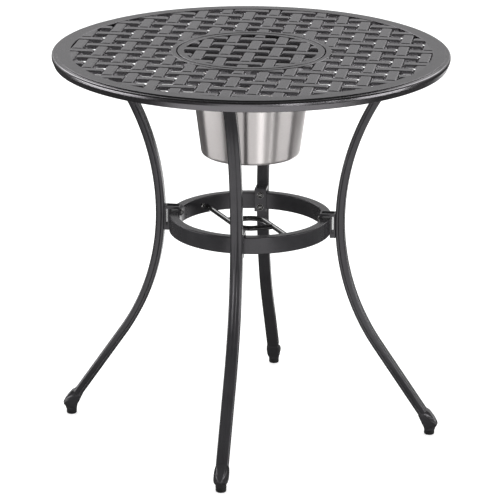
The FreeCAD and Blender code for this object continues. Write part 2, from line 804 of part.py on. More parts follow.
def build_shoe(label, azimuth):
    """Cast shoe: side profile with a toe, narrowed in front view and pointed in plan."""
    body = new_part(label, azimuth)
    side = sketch_on(body, "side", "XZ_Plane")
    half = S.leg_depth / 2 + S.shoe_margin
    heel, neck = leg_end(-half), leg_end(half)
    inner = S.glide_position - S.sole_width / 2
    outer = S.glide_position + S.sole_width / 2
    outline(side, (
        heel, (inner, S.glide_height * 2), (inner, S.glide_height), (outer, S.glide_height),
        (S.toe_radius - S.toe_undercut, S.toe_height - S.toe_drop), (S.toe_radius, S.toe_height), neck,
    ), {5: (S.shoe_bulge, 1)})
    pad(body, "block", side, S.shoe_width, symmetric=True)

    plan = sketch_on(body, "plan", "XY_Plane")
    wide, narrow = S.shoe_width / 2, S.leg_width / 2
    shoulder = S.glide_position - S.toe_undercut
    nose = S.toe_radius
    back = heel[0] - S.cut_past
    behind, ahead, beside = back - S.cut_frame, nose + S.cut_frame, wide + S.cut_frame
    outline(plan, ((behind, -beside), (ahead, -beside), (ahead, beside), (behind, beside)))
    outline(plan, (
        (back, -narrow), (inner, -narrow), (shoulder, -wide), (nose, -S.nose_flat), (nose, S.nose_flat),
        (shoulder, wide), (inner, narrow), (back, narrow)))
    pocket(body, "plan_cut", plan, neck[1] + S.cut_frame, Reversed=True)

    front = sketch_on(body, "front", "YZ_Plane", back)
    sole = S.sole_width / 2
    below, above, crest = -S.cut_past, neck[1] + S.cut_frame, neck[1] + S.cut_past
    outline(front, ((-beside, below), (beside, below), (beside, above), (-beside, above)))
    outline(front, (
        (-sole, S.glide_height / 2), (sole, S.glide_height / 2), (wide, S.shoe_wide_height),
        (narrow, crest), (-narrow, crest), (-wide, S.shoe_wide_height)))
    pocket(body, "front_cut", front, ahead - back, Reversed=True)

    stem = sketch_on(body, "stem", "XY_Plane", S.glide_height)
    circle(stem, (S.glide_position, 0), S.glide_stem_radius + S.screw_play)
    pocket(body, "stem_bore", stem, S.glide_stem_length + S.screw_end_gap, Reversed=True)


def build_glide(label, azimuth):
    body = new_part(label, azimuth)
    pad_face = sketch_on(body, "pad_face", "XY_Plane")
    circle(pad_face, (S.glide_position, 0), S.glide_radius - S.glide_edge / 2)
    pad(body, "tread", pad_face, S.glide_height)
    disc_face = sketch_on(body, "disc_face", "XY_Plane", S.glide_edge)
    circle(disc_face, (S.glide_position, 0), S.glide_radius)
    pad(body, "disc", disc_face, S.glide_height - S.glide_edge)
    stem_face = sketch_on(body, "stem_face", "XY_Plane", S.glide_height)
    circle(stem_face, (S.glide_position, 0), S.glide_stem_radius)
    pad(body, "stem", stem_face, S.glide_stem_length)


build_rim()
build_collar()
build_top_weave()
build_lid()
build_bucket_wall()
build_bucket_floor()
build_bucket_flange()
for direction, azimuth in (("right", 0.0), ("back", 90.0), ("left", 180.0), ("front", 270.0)):
    build_leg("leg_" + direction, azimuth)
    build_leg_plate("leg_plate_" + direction, azimuth)
    build_bracket("ring_bracket_" + direction, azimuth)
    build_shoe("foot_casting_" + direction, azimuth)
    build_glide("foot_glide_" + direction, azimuth)
build_plate_bolts()
build_ring()
build_bolt_group("ring_bracket_bolts", leaf_inner - S.washer_thickness, bolt_heights, plate_face)
build_washers()
build_hook("guide_hook_a", 0.0)
build_hook("guide_hook_b", 180.0)
build_bolt_group("guide_bolts", guide_bolt_seat, (S.guide_height + S.guide_bolt_rise,), guide_bolt_tip,
                 azimuth=guide_bolt_azimuth, copies=2)

doc.recompute()
for item in doc.Objects:
    if "Invalid" in item.State or "Error" in item.State:
        raise ValueError(item.Name + " did not build: " + str(item.State))
for part in PARTS:
    if part.Shape.isNull() or not part.Shape.isValid():
        raise ValueError(part.Label + " is not a valid shape")

os.makedirs("parts", exist_ok=True)
for part in PARTS:
    part.Shape.exportStep("parts/" + part.Label + ".step")
    print(part.Label, len(part.Shape.Solids), "solids", round(part.Shape.Volume), "mm3")
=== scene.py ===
# %% [markdown]
# # Ice bucket coffee table
# A round cast-aluminium patio table: a basket-weave top, a steel ice bucket under a
# woven lid, four bowed legs and a ring with a pole guide at the waist.
# This notebook dresses the table's fixed solids. It goes from the camera to the
# finishes and the light, and then to each piece.
#
# ## Start with the fixed frame
# The solids arrive in metres, already in place.

# %% Load the solids
import json
import math

import bmesh
import bpy
from mathutils import Matrix, Vector


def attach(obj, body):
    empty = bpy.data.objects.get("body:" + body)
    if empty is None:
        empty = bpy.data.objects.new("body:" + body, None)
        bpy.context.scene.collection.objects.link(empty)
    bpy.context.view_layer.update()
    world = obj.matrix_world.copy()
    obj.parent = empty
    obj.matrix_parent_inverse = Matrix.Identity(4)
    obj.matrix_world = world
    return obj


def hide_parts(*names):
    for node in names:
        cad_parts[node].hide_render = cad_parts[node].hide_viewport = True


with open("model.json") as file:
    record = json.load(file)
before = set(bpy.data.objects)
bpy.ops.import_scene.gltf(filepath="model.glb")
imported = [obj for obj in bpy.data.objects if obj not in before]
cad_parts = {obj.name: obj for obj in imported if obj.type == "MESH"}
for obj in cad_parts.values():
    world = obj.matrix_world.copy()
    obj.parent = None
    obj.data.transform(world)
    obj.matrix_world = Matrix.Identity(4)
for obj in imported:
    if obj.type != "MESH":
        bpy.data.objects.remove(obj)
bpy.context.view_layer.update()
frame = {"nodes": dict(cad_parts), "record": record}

# %% [markdown]
# ## Camera
# The photograph looks down on the table at about 18 degrees from five metres away,
# with a long lens, and a little from the right of the front leg. A closer, wider
# camera would open the top's ellipse too much.

# %% Camera
CAMERA_DISTANCE = 5.1465
CAMERA_HEIGHT = 1.9946
CAMERA_PITCH = 0.3116
CAMERA_TURN = 0.1445
CAMERA_ROLL = 0.006
LENS_MM = 213.7


def placed(name, data):
    """A new object in the scene."""
    thing = bpy.data.objects.new(name, data)
    bpy.context.scene.collection.objects.link(thing)
    return thing


camera_data = bpy.data.cameras.new("studio_camera")
camera_data.lens = LENS_MM
camera_data.sensor_width = 36.0
camera_data.clip_end = 60.0
camera = placed("studio_camera", camera_data)
camera_turn = (
    Matrix.Rotation(CAMERA_TURN, 4, "Z")
    @ Matrix.Rotation(math.pi / 2 - CAMERA_PITCH, 4, "X")
    @ Matrix.Rotation(CAMERA_ROLL, 4, "Z")
)
camera_place = Matrix.Translation((
    CAMERA_DISTANCE * math.sin(CAMERA_TURN),
    -CAMERA_DISTANCE * math.cos(CAMERA_TURN),
    CAMERA_HEIGHT,
))
camera.matrix_world = camera_place @ camera_turn
bpy.context.scene.camera = camera
print("camera at", [round(value, 3) for value in camera.matrix_world.translation])

# %% [markdown]
# ## Node graphs written as Python
# Materials and Geometry Nodes are both graphs. A small class that wraps one socket and
# knows the arithmetic signs lets `1 - mask * 0.5` add its own Math nodes. One method
# adds every node from its type, its settings and its inputs. The same graphs could be
# drawn by hand in the editor, but a formula is quicker to read.

# %% Sockets with arithmetic


class Wire:
    """One output socket of a node tree, usable in arithmetic."""

    def __init__(self, graph, socket):
        self.graph = graph
        self.socket = socket

    def other(self, name):
        """Another output of the same node."""
        return Wire(self.graph, self.socket.node.outputs[name])

    def __add__(self, other):
        return self.graph.math("ADD", self, other)

    def __sub__(self, other):
        return self.graph.math("SUBTRACT", self, other)

    def __rsub__(self, other):
        return self.graph.math("SUBTRACT", other, self)

    def __mul__(self, other):
        return self.graph.math("MULTIPLY", self, other)

    def __truediv__(self, other):
        return self.graph.math("DIVIDE", self, other)


class Graph:
    """A node tree that any node can be added to."""

    def __init__(self, tree):
        self.tree = tree

    def add(self, kind, settings=None, inputs=None, output=0):
        node = self.tree.nodes.new(kind)
        for name, value in (settings or {}).items():
            if name == "stops":
                self.set_stops(node.color_ramp, value)
            else:
                setattr(node, name, value)
        for name, value in (inputs or {}).items():
            socket = node.inputs[name]
            for item in value if isinstance(value, list) else [value]:
                if isinstance(item, Wire):
                    self.tree.links.new(item.socket, socket)
                else:
                    socket.default_value = item
        return Wire(self, node.outputs[output]) if node.outputs else None

    def math(self, operation, *values):
        return self.add("ShaderNodeMath", {"operation": operation}, dict(enumerate(values)))

    def vector(self, *values):
        return self.add("ShaderNodeCombineXYZ", None, dict(enumerate(values)))

    def set_stops(self, ramp, stops):
        while len(ramp.elements) < len(stops):
            ramp.elements.new(0.5)
        for element, (place, shade) in zip(ramp.elements, stops):
            element.position = place
            element.color = shade


print("graph helpers ready")

# %% [markdown]
# ## Finishes
# Every finish starts with noise read at the point on the piece, since an even colour
# looks like a toy. A few helpers start and close a material, mix two colours, and make
# noise and bumps.

# %% Helpers for finishes


def new_finish(name):
    material = bpy.data.materials.new(name)
    material.use_nodes = True
    material.node_tree.nodes.clear()
    return material, Graph(material.node_tree)


def close_finish(graph, shader):
    graph.add("ShaderNodeOutputMaterial", None, {"Surface": shader})


def skin(material, graph, inputs):
    """Close a finish with one surface shader."""
    close_finish(graph, graph.add("ShaderNodeBsdfPrincipled", None, inputs))
    return material


def shade_of(level, tint=(1.0, 1.0, 1.0)):
    return (*(level * part for part in tint), 1.0)


def mixed(graph, factor, first, second):
    """A colour between two others."""
    return graph.add("ShaderNodeMix", {"data_type": "RGBA"}, {0: factor, 6: first, 7: second}, 2)


def point_on_piece(graph):
    return graph.add("ShaderNodeTexCoord", None, None, "Object")


def noise(graph, point, scale, detail):
    return graph.add("ShaderNodeTexNoise", None, {"Vector": point, "Scale": scale, "Detail": detail}, "Fac")


def bumps(graph, height, strength, distance):
    return graph.add("ShaderNodeBump", None, {"Strength": strength, "Distance": distance, "Height": height})


print("finish helpers ready")

# %% [markdown]
# The rim, the weave and the bars each wear a charcoal powder coat: a semi-gloss skin
# with a faint orange-peel texture and tiny lighter flecks. Slow noise moves its colour
# and its roughness, and fine noise makes the flecks and the peel. The coats of the rim
# and the weave have a high index of refraction, because a flat top seen at a low angle
# is mostly what it mirrors. The bars have the index of a plain lacquer.

# %% Powder coat
CLOUD_SCALE = 26.0
GRAIN_SCALE = 560.0
FLECK_STOPS = ((0.58, (0, 0, 0, 1)), (0.70, (1, 1, 1, 1)))
FLECK_SHADE = 0.08


def powder_coat(name, level, rough, peel, fleck, ior, tint):
    material, graph = new_finish(name)
    point = point_on_piece(graph)
    cloud = noise(graph, point, CLOUD_SCALE, 3.0)
    grain = noise(graph, point, GRAIN_SCALE, 2.0)
    base = mixed(graph, cloud, shade_of(level * 0.7, tint), shade_of(level * 1.3, tint))
    flecks = graph.add("ShaderNodeValToRGB", {"stops": FLECK_STOPS}, {0: grain})
    return skin(material, graph, {
        "Base Color": mixed(graph, flecks * fleck, base, shade_of(FLECK_SHADE, tint)),
        "Roughness": cloud * 0.10 + (rough - 0.05),
        "Normal": bumps(graph, grain, peel, 0.0004),
        "Coat Weight": 0.15, "Coat Roughness": 0.2, "IOR": ior,
        "Specular Tint": (0.985, 0.95, 1.0, 1.0),
    })


cast_coat = powder_coat(
    "cast_powder_coat", level=0.007, rough=0.24, peel=0.18, fleck=0.22, ior=2.50, tint=(1.01, 0.985, 1.02))
# The weave is cast with the rim and wears the same coat, but its colour is painted several times lighter.
# This is painted light that lifts the shade on the walls of its openings.
weave_coat_painted_lighter = powder_coat(
    "weave_powder_coat_painted_lighter", level=0.046, rough=0.25, peel=0.22, fleck=0.30, ior=2.40, tint=(1.01, 0.975, 1.03))
bar_coat = powder_coat(
    "bar_powder_coat", level=0.042, rough=0.20, peel=0.08, fleck=0.20, ior=1.56, tint=(1.0, 0.98, 1.05))
print("coats:", cast_coat.name, weave_coat_painted_lighter.name, bar_coat.name)

# %% [markdown]
# Gloss black on the rods is nearly black with a clear coat, so it shows only the
# lights. The bolts and the bucket are metal: their colour is that of what they
# reflect. The bucket is spun on a lathe, so its brush marks run round it. Noise that
# is stretched along the circle and squeezed in height draws such marks. The glides are
# dull black plastic.

# %% Gloss black, dark bolts, brushed steel and plastic
PLATE_TINT = (1.0, 0.99, 0.98)


def grained(name, scale, detail, shades, rough, spread, bump=None, **inputs):
    """A finish whose shade, roughness and bumps all follow one noise."""
    material, graph = new_finish(name)
    grain = noise(graph, point_on_piece(graph), scale, detail)
    if bump:
        inputs["Normal"] = bumps(graph, grain, *bump)
    inputs["Base Color"] = mixed(graph, grain, *shades)
    inputs["Roughness"] = grain * spread + rough
    return skin(material, graph, inputs)


def brushed_steel():
    material, graph = new_finish("bucket_brushed_steel")
    across = graph.add("ShaderNodeSeparateXYZ", None, {0: point_on_piece(graph)}, "X")
    turn = graph.math("ARCTAN2", across.other("Y"), across)
    line = graph.vector(turn * 0.35, across.other("Z") * 60.0, 0.0)
    marks = noise(graph, line, 40.0, 4.0)
    darker = shade_of(0.78, (1, 0.945, 0.93))
    lighter = shade_of(0.95, (1, 0.955, 0.945))
    return skin(material, graph, {
        "Base Color": mixed(graph, marks, darker, lighter),
        "Roughness": marks * 0.10 + 0.28, "Metallic": 1.0,
        "Normal": bumps(graph, marks, 0.05, 0.0002),
        "Anisotropic": 0.95, "Anisotropic Rotation": 0.25,
    })


rod_black = grained(
    "rod_gloss_black", 260.0, 2.0, (shade_of(0.010), shade_of(0.022)), rough=0.14, spread=0.08,
    bump=(0.08, 0.0004), **{"Coat Weight": 0.8, "Coat Roughness": 0.08})
bolt_metal = grained(
    "bolt_dark_plate", 420.0, 3.0, (shade_of(0.24, PLATE_TINT), shade_of(0.33, PLATE_TINT)),
    rough=0.16, spread=0.16, Metallic=1.0)
steel = brushed_steel()
plastic = grained(
    "glide_black_plastic", 700.0, 2.0, (shade_of(0.010), shade_of(0.026)), rough=0.40, spread=0.1,
    bump=(0.15, 0.0003))
print("finishes:", rod_black.name, bolt_metal.name, steel.name, plastic.name)

# %% [markdown]
# The finishes go on the solids by the record's material slots. A detailed piece hides
# the solid that it stands for.

# %% Finishes on the solids
SLOT_FINISH = {
    "casting": cast_coat, "bar": bar_coat, "shoe": bar_coat, "rod": rod_black,
    "steel": steel, "fastener": bolt_metal, "glide": plastic,
}
for row in frame["record"]["subparts"]:
    node = frame["nodes"][row["node"]]
    node.data.materials.clear()
    node.data.materials.append(SLOT_FINISH[row["material_slot"]])

# %% [markdown]
# ## Floor
# The photograph is a catalogue picture on plain white. A pale floor that meets a white
# world does that. The floor adds a little light of its own for the camera alone, so
# that it stays white where it is lit and still darkens under the feet.
# The coats and the bucket mirror the floor as well, and an endless white one would turn
# them pale. So mirrored and bounced rays find a strip of white paper with the table's
# shadow painted on it as a soft dark oval, and a dark studio floor on both sides of it.

# %% Floor
FLOOR_REACH = 30.0
PAPER_HALF = 0.60
PAPER_RIGHT = 0.15
PAPER_FADE = 0.2
SHADE_WIDE = 0.95
SHADE_DEEP = 0.55
SHADE_BACK = 0.10
SHADE_LEFT = 0.06
FLOOR_GLOW = 0.5
MIRROR_GLOW = 0.15
PAPER_WHITE = shade_of(0.80)
STUDIO_DARK = shade_of(0.06)
FULL_WHITE = shade_of(1.0)


def soft_step(graph, value, start, end, first, last):
    """Ease from a first to a last number while the value runs from start to end."""
    return graph.add("ShaderNodeMapRange", {"interpolation_type": "SMOOTHSTEP"}, {
        "Value": value, "From Min": start, "From Max": end, "To Min": first, "To Max": last}, 0)


floor_mesh = bpy.data.meshes.new("floor")
floor_corners = [(x * FLOOR_REACH, y * FLOOR_REACH, 0) for x, y in ((-1, -1), (1, -1), (1, 1), (-1, 1))]
floor_mesh.from_pydata(floor_corners, [], [(0, 1, 2, 3)])
floor = placed("floor", floor_mesh)

floor_paint, graph = new_finish("floor_paint")
seen = graph.add("ShaderNodeLightPath", None, None, "Is Camera Ray")
matte = graph.add("ShaderNodeBsdfDiffuse", None, {"Color": PAPER_WHITE})
bright = graph.add("ShaderNodeEmission", None, {"Color": FULL_WHITE, "Strength": FLOOR_GLOW})
lifted = graph.add("ShaderNodeAddShader", None, {0: matte, 1: bright})
point = point_on_piece(graph)
off_middle = graph.add("ShaderNodeSeparateXYZ", None, {0: point}, "X") - PAPER_RIGHT
sideways = graph.math("ABSOLUTE", off_middle)
strip = soft_step(graph, sideways, PAPER_HALF, PAPER_HALF + PAPER_FADE, 1.0, 0.0)
# Painted shadow: a soft oval under the table, a little towards the back, darkens the paper for mirrored and
# bounced rays in place of the table's shade.
centred = graph.add("ShaderNodeMapping", None, {
    "Vector": point, "Location": (0, -SHADE_BACK / SHADE_DEEP, 0),
    "Scale": (1 / SHADE_WIDE, 1 / SHADE_DEEP, 1)})
away = graph.add("ShaderNodeVectorMath", {"operation": "LENGTH"}, {0: centred}, "Value")
paper_and_painted_shade = strip * soft_step(graph, away, 0.90, 1.10, SHADE_LEFT, 1.0)
sheet = graph.add("ShaderNodeBsdfDiffuse", None, {"Color": mixed(graph, paper_and_painted_shade, STUDIO_DARK, PAPER_WHITE)})
# Painted light: the paper glows a little for mirrored rays alone, so the coats and the bucket mirror a
# brighter floor than the lamps light.
glow = graph.add("ShaderNodeEmission", None, {
    "Color": FULL_WHITE, "Strength": paper_and_painted_shade * seen.other("Is Glossy Ray") * MIRROR_GLOW})
indirect = graph.add("ShaderNodeAddShader", None, {0: sheet, 1: glow})
close_finish(graph, graph.add("ShaderNodeMixShader", None, {0: seen, 1: indirect, 2: lifted}))
floor_mesh.materials.append(floor_paint)
print("floor", 2 * FLOOR_REACH, "m wide")

# %% [markdown]
# ## Light
# The light follows what the photograph's surfaces mirror. The flat top mirrors the low
# backdrop, the round nose in front mirrors the dark space overhead, and its two ends
# mirror bright panels high up behind. Two long, low boxes light the bucket's sides. They
# stay below the top, because from the side the flat top would mirror them as plain
# white. Two upright lamps low in front draw the bright stripes down the bucket.

# %% Lamps


def soft_lamp(name, place, target, width, height, radiance):
    """A rectangular lamp whose face has the given brightness, whatever its size."""
    data = bpy.data.lights.new(name, "AREA")
    data.shape = "RECTANGLE"
    data.size = width
    data.size_y = height
    data.energy = radiance * math.pi * width * height
    lamp = placed(name, data)
    lamp.location = place
    lamp.rotation_euler = (Vector(target) - Vector(place)).to_track_quat("-Z", "Y").to_euler()
    lamp.visible_camera = False


soft_lamp("panel_back_left", (-1.97, 2.26, 2.75), (0, 0, 0.7), 2.0, 1.7, 3.0)
soft_lamp("panel_back_right", (1.45, 2.62, 2.75), (0, 0, 0.7), 2.2, 1.7, 2.6)
soft_lamp("box_left", (-2.5, -0.6, 0.4), (0, 0, 0.55), 2.4, 0.6, 4.2)
soft_lamp("box_right", (2.6, -0.3, 0.4), (0, 0, 0.55), 1.6, 0.6, 4.4)
soft_lamp("low_front", (1.9, -3.3, 0.65), (0, 0, 0.5), 0.9, 1.3, 5.0)
soft_lamp("low_front_right", (3.0, -2.35, 0.65), (0, 0, 0.5), 0.35, 1.3, 5.0)
print("six lamps")

# %% [markdown]
# The world is plain white for the camera. Soft light comes from it too, more from above
# than from below. Mirrored rays see it dark, apart from a glow behind the table and
# along the horizon. An even white room would turn every dark coat grey.

# %% World
BACK_GLOW = 0.36
HORIZON_GLOW = 0.24
ROOM_GLOW = 0.015
world = bpy.data.worlds.new("studio_white")
world.use_nodes = True
world.node_tree.nodes.clear()
graph = Graph(world.node_tree)
direct = graph.add("ShaderNodeLightPath", None, None, "Is Camera Ray")
way = graph.add("ShaderNodeTexCoord", None, None, "Generated")
toward_back = graph.add("ShaderNodeSeparateXYZ", None, {0: way}, "Y")
upward = toward_back.other("Z")
behind = soft_step(graph, toward_back, -0.1, 0.75, 0.0, 1.0)
low = soft_step(graph, upward, 0.30, 0.75, 1.0, 0.0)
horizon = soft_step(graph, upward, 0.10, 0.42, 1.0, 0.0)
from_above = soft_step(graph, upward, -0.1, 0.8, 0.35, 0.9)


def background(strength):
    return graph.add("ShaderNodeBackground", None, {"Color": FULL_WHITE, "Strength": strength})


room = graph.add("ShaderNodeMixShader", None, {
    0: direct.other("Is Glossy Ray"), 1: background(from_above),
    2: background(behind * low * BACK_GLOW + horizon * HORIZON_GLOW + ROOM_GLOW)})
whole = graph.add("ShaderNodeMixShader", None, {0: direct, 1: room, 2: background(1.0)})
graph.add("ShaderNodeOutputWorld", None, {"Surface": whole})
bpy.context.scene.world = world
bpy.context.scene.view_settings.view_transform = "Standard"
print("world:", world.name)

# %% [markdown]
# ## Making a piece
# Every piece starts as points in millimetres. Profiles get rounded corners first,
# since cast and turned edges are never sharp and a round edge catches the light. Then
# a profile is spun round an axis, a section is swept along a path, or rings are stacked.

# %% Profiles, turning, stacking and sweeping
MM = 0.001


def eased(corners, steps=5):
    """Round the corners of a closed profile of (x, z, radius)."""
    points = []
    count = len(corners)
    for number, (x, z, radius) in enumerate(corners):
        here = Vector((x, z))
        before = Vector(corners[number - 1][:2]) - here
        after = Vector(corners[(number + 1) % count][:2]) - here
        if radius <= 0:
            points.append((x, z))
            continue
        angle = before.angle(after)
        back = min(radius / math.tan(angle / 2), before.length * 0.49, after.length * 0.49)
        bend = back * math.tan(angle / 2)
        inward = (before.normalized() + after.normalized()).normalized()
        centre = here + inward * (bend / math.sin(angle / 2))
        first = here + before.normalized() * back - centre
        last = here + after.normalized() * back - centre
        start = math.atan2(first.y, first.x)
        turn = (math.atan2(last.y, last.x) - start + math.pi) % (2 * math.pi) - math.pi
        for step in range(steps + 1):
            now = start + turn * step / steps
            points.append((centre.x + bend * math.cos(now), centre.y + bend * math.sin(now)))
    return points


def turned(shape, profile, place, steps):
    """Spin a closed profile of (radius, height) round Z, then set it in place."""
    rings = []
    for radius, height in profile:
        if radius < 1e-6:
            rings.append([shape.verts.new((0, 0, height * MM))])
            continue
        rings.append([
            shape.verts.new((radius * MM * math.cos(2 * math.pi * step / steps),
                             radius * MM * math.sin(2 * math.pi * step / steps), height * MM))
            for step in range(steps)])
    for number, ring in enumerate(rings):
        other = rings[(number + 1) % len(rings)]
        if len(ring) == 1 and len(other) == 1:
            continue
        for step in range(steps):
            after = (step + 1) % steps
            corners = [ring[step % len(ring)], ring[after % len(ring)],
                       other[after % len(other)], other[step % len(other)]]
            shape.faces.new(list(dict.fromkeys(corners)))
    if place is not None:
        bmesh.ops.transform(shape, matrix=place, verts=[vert for ring in rings for vert in ring])


def spun(profile, steps, place=None):
    """A new mesh with one turned profile."""
    shape = bmesh.new()
    turned(shape, profile, place, steps)
    return shape


def stacked(shape, rings):
    """Join rings of points from the bottom to the top, and close both ends."""
    levels = [[shape.verts.new(Vector(point) * MM) for point in ring] for ring in rings]
    for low, high in zip(levels, levels[1:]):
        for number in range(len(low)):
            after = (number + 1) % len(low)
            shape.faces.new((low[number], low[after], high[after], high[number]))
    shape.faces.new(reversed(levels[0]))
    shape.faces.new(levels[-1])


def swept(shape, section, stations):
    """Carry a closed section of (across, along) through stations of (origin, across, along)."""
    stacked(shape, [[origin + across * u + along * v for u, v in section]
                    for origin, across, along in stations])


print("shape helpers ready")

# %% [markdown]
# One last step welds the mesh and turns its faces outward. It lets large faces lead the
# smooth shading, so that flat faces look flat. It gives the piece its finish and lets
# it ride on the body that it belongs to.

# %% Settling a piece


def plain_mesh(piece):
    """The mesh that an object has once its modifiers have run."""
    depsgraph = bpy.context.evaluated_depsgraph_get()
    return bpy.data.meshes.new_from_object(piece.evaluated_get(depsgraph))


def settle(name, shape, finish, body, nodes=(), angle=32.0, turn=0.0):
    """Make the mesh a finished piece that rides on a body and stands for solids."""
    bmesh.ops.remove_doubles(shape, verts=shape.verts, dist=2e-6)
    bmesh.ops.recalc_face_normals(shape, faces=shape.faces)
    if turn:
        bmesh.ops.rotate(shape, verts=shape.verts, matrix=Matrix.Rotation(math.radians(turn), 3, "Z"))
    mesh = bpy.data.meshes.new(name)
    shape.to_mesh(mesh)
    shape.free()
    mesh.materials.append(finish)
    for face in mesh.polygons:
        face.use_smooth = True
        face.material_index = 0
    mesh.set_sharp_from_angle(angle=math.radians(angle))
    piece = placed(name, mesh)
    even = piece.modifiers.new("even_shading", "WEIGHTED_NORMAL")
    even.keep_sharp = True
    piece.data = plain_mesh(piece)
    piece.modifiers.remove(even)
    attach(piece, body)
    if nodes:
        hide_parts(*nodes)
    print("piece", name, len(piece.data.polygons), "faces")


print("pieces can be settled")

# %% [markdown]
# ## Rim and collar of the top
# The top is one casting. Its rim is turned: a flat band, a small step, a round nose
# and a skirt that draws in towards its foot. The collar round the bucket's hole has a
# ledge low down on its inside, and the bucket hangs on it. Both are plain profiles
# spun round the middle. Short bosses under the weave take the legs' bolts.

# %% Rim, collar and bosses
TOP = 711.0
CAST_UNDER = 703.0
SEAT = 701.0
PLATE_TOP = 693.0
RIM_INSIDE = 323
SKIRT_INSIDE = 347
RIM_OUTSIDE = 355.5
SKIRT_FOOT = 691.5
NOSE_TOP = 709
LEDGE_EDGE = 117
COLLAR_HOLE = 134
COLLAR_OUTSIDE = 143.5
BOSS_HOLE = 3.15
BOSS_OUTSIDE = 8
BOSS_RADIUS = 266.4
BOSS_SIDE = 22.2

rim_profile = eased((
    (RIM_INSIDE, CAST_UNDER, 0.4), (SKIRT_INSIDE, CAST_UNDER, 1.5), (SKIRT_INSIDE, SKIRT_FOOT, 1.2),
    (351.5, SKIRT_FOOT, 1.4), (RIM_OUTSIDE, 702, 3.0), (RIM_OUTSIDE, NOSE_TOP, 6.6),
    (348.4, NOSE_TOP, 0.5), (SKIRT_INSIDE, TOP, 0.7), (RIM_INSIDE, TOP, 0.9),
), 7)
collar_profile = eased((
    (LEDGE_EDGE, 698, 0.6), (138, 698, 0.8), (138, CAST_UNDER, 0.2), (COLLAR_OUTSIDE, CAST_UNDER, 0.3),
    (COLLAR_OUTSIDE, TOP, 1.0), (COLLAR_HOLE, TOP, 1.0), (COLLAR_HOLE, SEAT, 0.6), (LEDGE_EDGE, SEAT, 0.8),
))
boss_profile = eased((
    (BOSS_HOLE, PLATE_TOP, 0.3), (BOSS_OUTSIDE, PLATE_TOP, 0.8),
    (BOSS_OUTSIDE, CAST_UNDER + 0.5, 0.1), (BOSS_HOLE, CAST_UNDER + 0.5, 0.1),
), 3)

settle("top_rim", spun(rim_profile, 288), cast_coat, "frame", ["tabletop_rim"])
settle("top_collar", spun(collar_profile, 224), cast_coat, "frame", ["tabletop_collar"])

shape = bmesh.new()
for quarter in range(4):
    for side in (-1, 1):
        place = (Matrix.Rotation(math.pi / 2 * quarter, 4, "Z")
                 @ Matrix.Translation((BOSS_RADIUS * MM, BOSS_SIDE * side * MM, 0)))
        turned(shape, boss_profile, place, 32)
settle("top_bosses", shape, cast_coat, "frame")

# %% [markdown]
# ## Basket weave
# Straps cross on a square pitch. On each crossing one strap lies over the other, and
# the upper one changes from crossing to crossing like the squares of a chessboard.
# Geometry Nodes follows such a rule well. Small units are made once: a bar for each
# direction, a joint that rounds the corners between bars, and two raised tiles, whose
# front and back edges are steeper than their sides. The graph sets them out and trims
# them to a ring.

# %% Units of the weave
PITCH = 44.4
LONG_HALF = 10.0
CROSS_HALF = 9.0
CORNER = 5.5
STRAP_TOP = 708.0
TILE_TOP = 710.4
FRONT_SHARE = 0.4
STRAP_REACH = 370
TRIM_MIDDLE = (0, 0, 0.707)
LONG_TILE_HALF = 32.0
CROSS_TILE_HALF = 33.0
STRAP_EDGE = ((0.0, 703.4), (0.0, 706.7), (0.25, 707.4), (0.7, 707.85), (1.3, STRAP_TOP))
TILE_EDGE = ((0.0, 707.6), (0.15, 708.5), (0.6, 709.3), (1.3, 709.9), (2.2, 710.25), (3.2, TILE_TOP))


def unit_object(name, shape):
    bmesh.ops.recalc_face_normals(shape, faces=shape.faces)
    mesh = bpy.data.meshes.new(name)
    shape.to_mesh(mesh)
    shape.free()
    return placed(name, mesh)


def strap_bar(name, half, along_y):
    """A bar with round top edges, long enough to cross the whole top."""
    section = [(side * (half - inset), height)
               for side, rows in ((-1, STRAP_EDGE), (1, STRAP_EDGE[::-1])) for inset, height in rows]
    shape = bmesh.new()
    up = Vector((0, 0, 1))
    across = Vector((1, 0, 0)) if along_y else Vector((0, 1, 0))
    run = up.cross(across)
    swept(shape, section, [(run * end * STRAP_REACH, across, up) for end in (-1, 1)])
    return unit_object(name, shape)


def joint_ring(inset):
    """The cross's outline, with each of its four inner corners rounded."""
    points = []
    for quarter, (x_side, y_side) in enumerate(((1, 1), (-1, 1), (-1, -1), (1, -1))):
        spokes = range(7) if quarter % 2 == 0 else range(6, -1, -1)
        for step in spokes:
            angle = math.pi * 1.5 - math.pi / 2 * step / 6
            x = LONG_HALF + CORNER + (CORNER + inset) * math.cos(angle)
            y = CROSS_HALF + CORNER + (CORNER + inset) * math.sin(angle)
            points.append((x * x_side, y * y_side))
    return points


def strap_joint():
    """A cross that fills the corners between two bars with a round fillet."""
    shape = bmesh.new()
    stacked(shape, [[(x, y, height) for x, y in joint_ring(inset)] for inset, height in STRAP_EDGE])
    return unit_object("strap_joint", shape)


def raised_tile(name, half_x, half_y):
    """The upper strap on a crossing: a low tile with rolled edges."""
    rings = []
    for inset, height in TILE_EDGE:
        x, y = half_x - inset, half_y - inset * FRONT_SHARE
        plan = eased(((-x, -y, 1.6), (x, -y, 1.6), (x, y, 1.6), (-x, y, 1.6)), 3)
        rings.append([(px, py, height) for px, py in plan])
    shape = bmesh.new()
    stacked(shape, rings)
    return unit_object(name, shape)


long_bar = strap_bar("long_bar", LONG_HALF, True)
cross_bar = strap_bar("cross_bar", CROSS_HALF, False)
joint = strap_joint()
long_tile = raised_tile("long_tile", LONG_HALF, LONG_TILE_HALF)
cross_tile = raised_tile("cross_tile", CROSS_TILE_HALF, CROSS_HALF)
print("weave units: 2 bars, 1 joint, 2 tiles")

# %% [markdown]
# The graph has named inputs for the pitch, the ring's two radii, the count of
# crossings, the five units and the finish. Bars, joints and tiles are trimmed apart
# from each other, since a trim needs solids that don't run into each other.

# %% The weave's graph


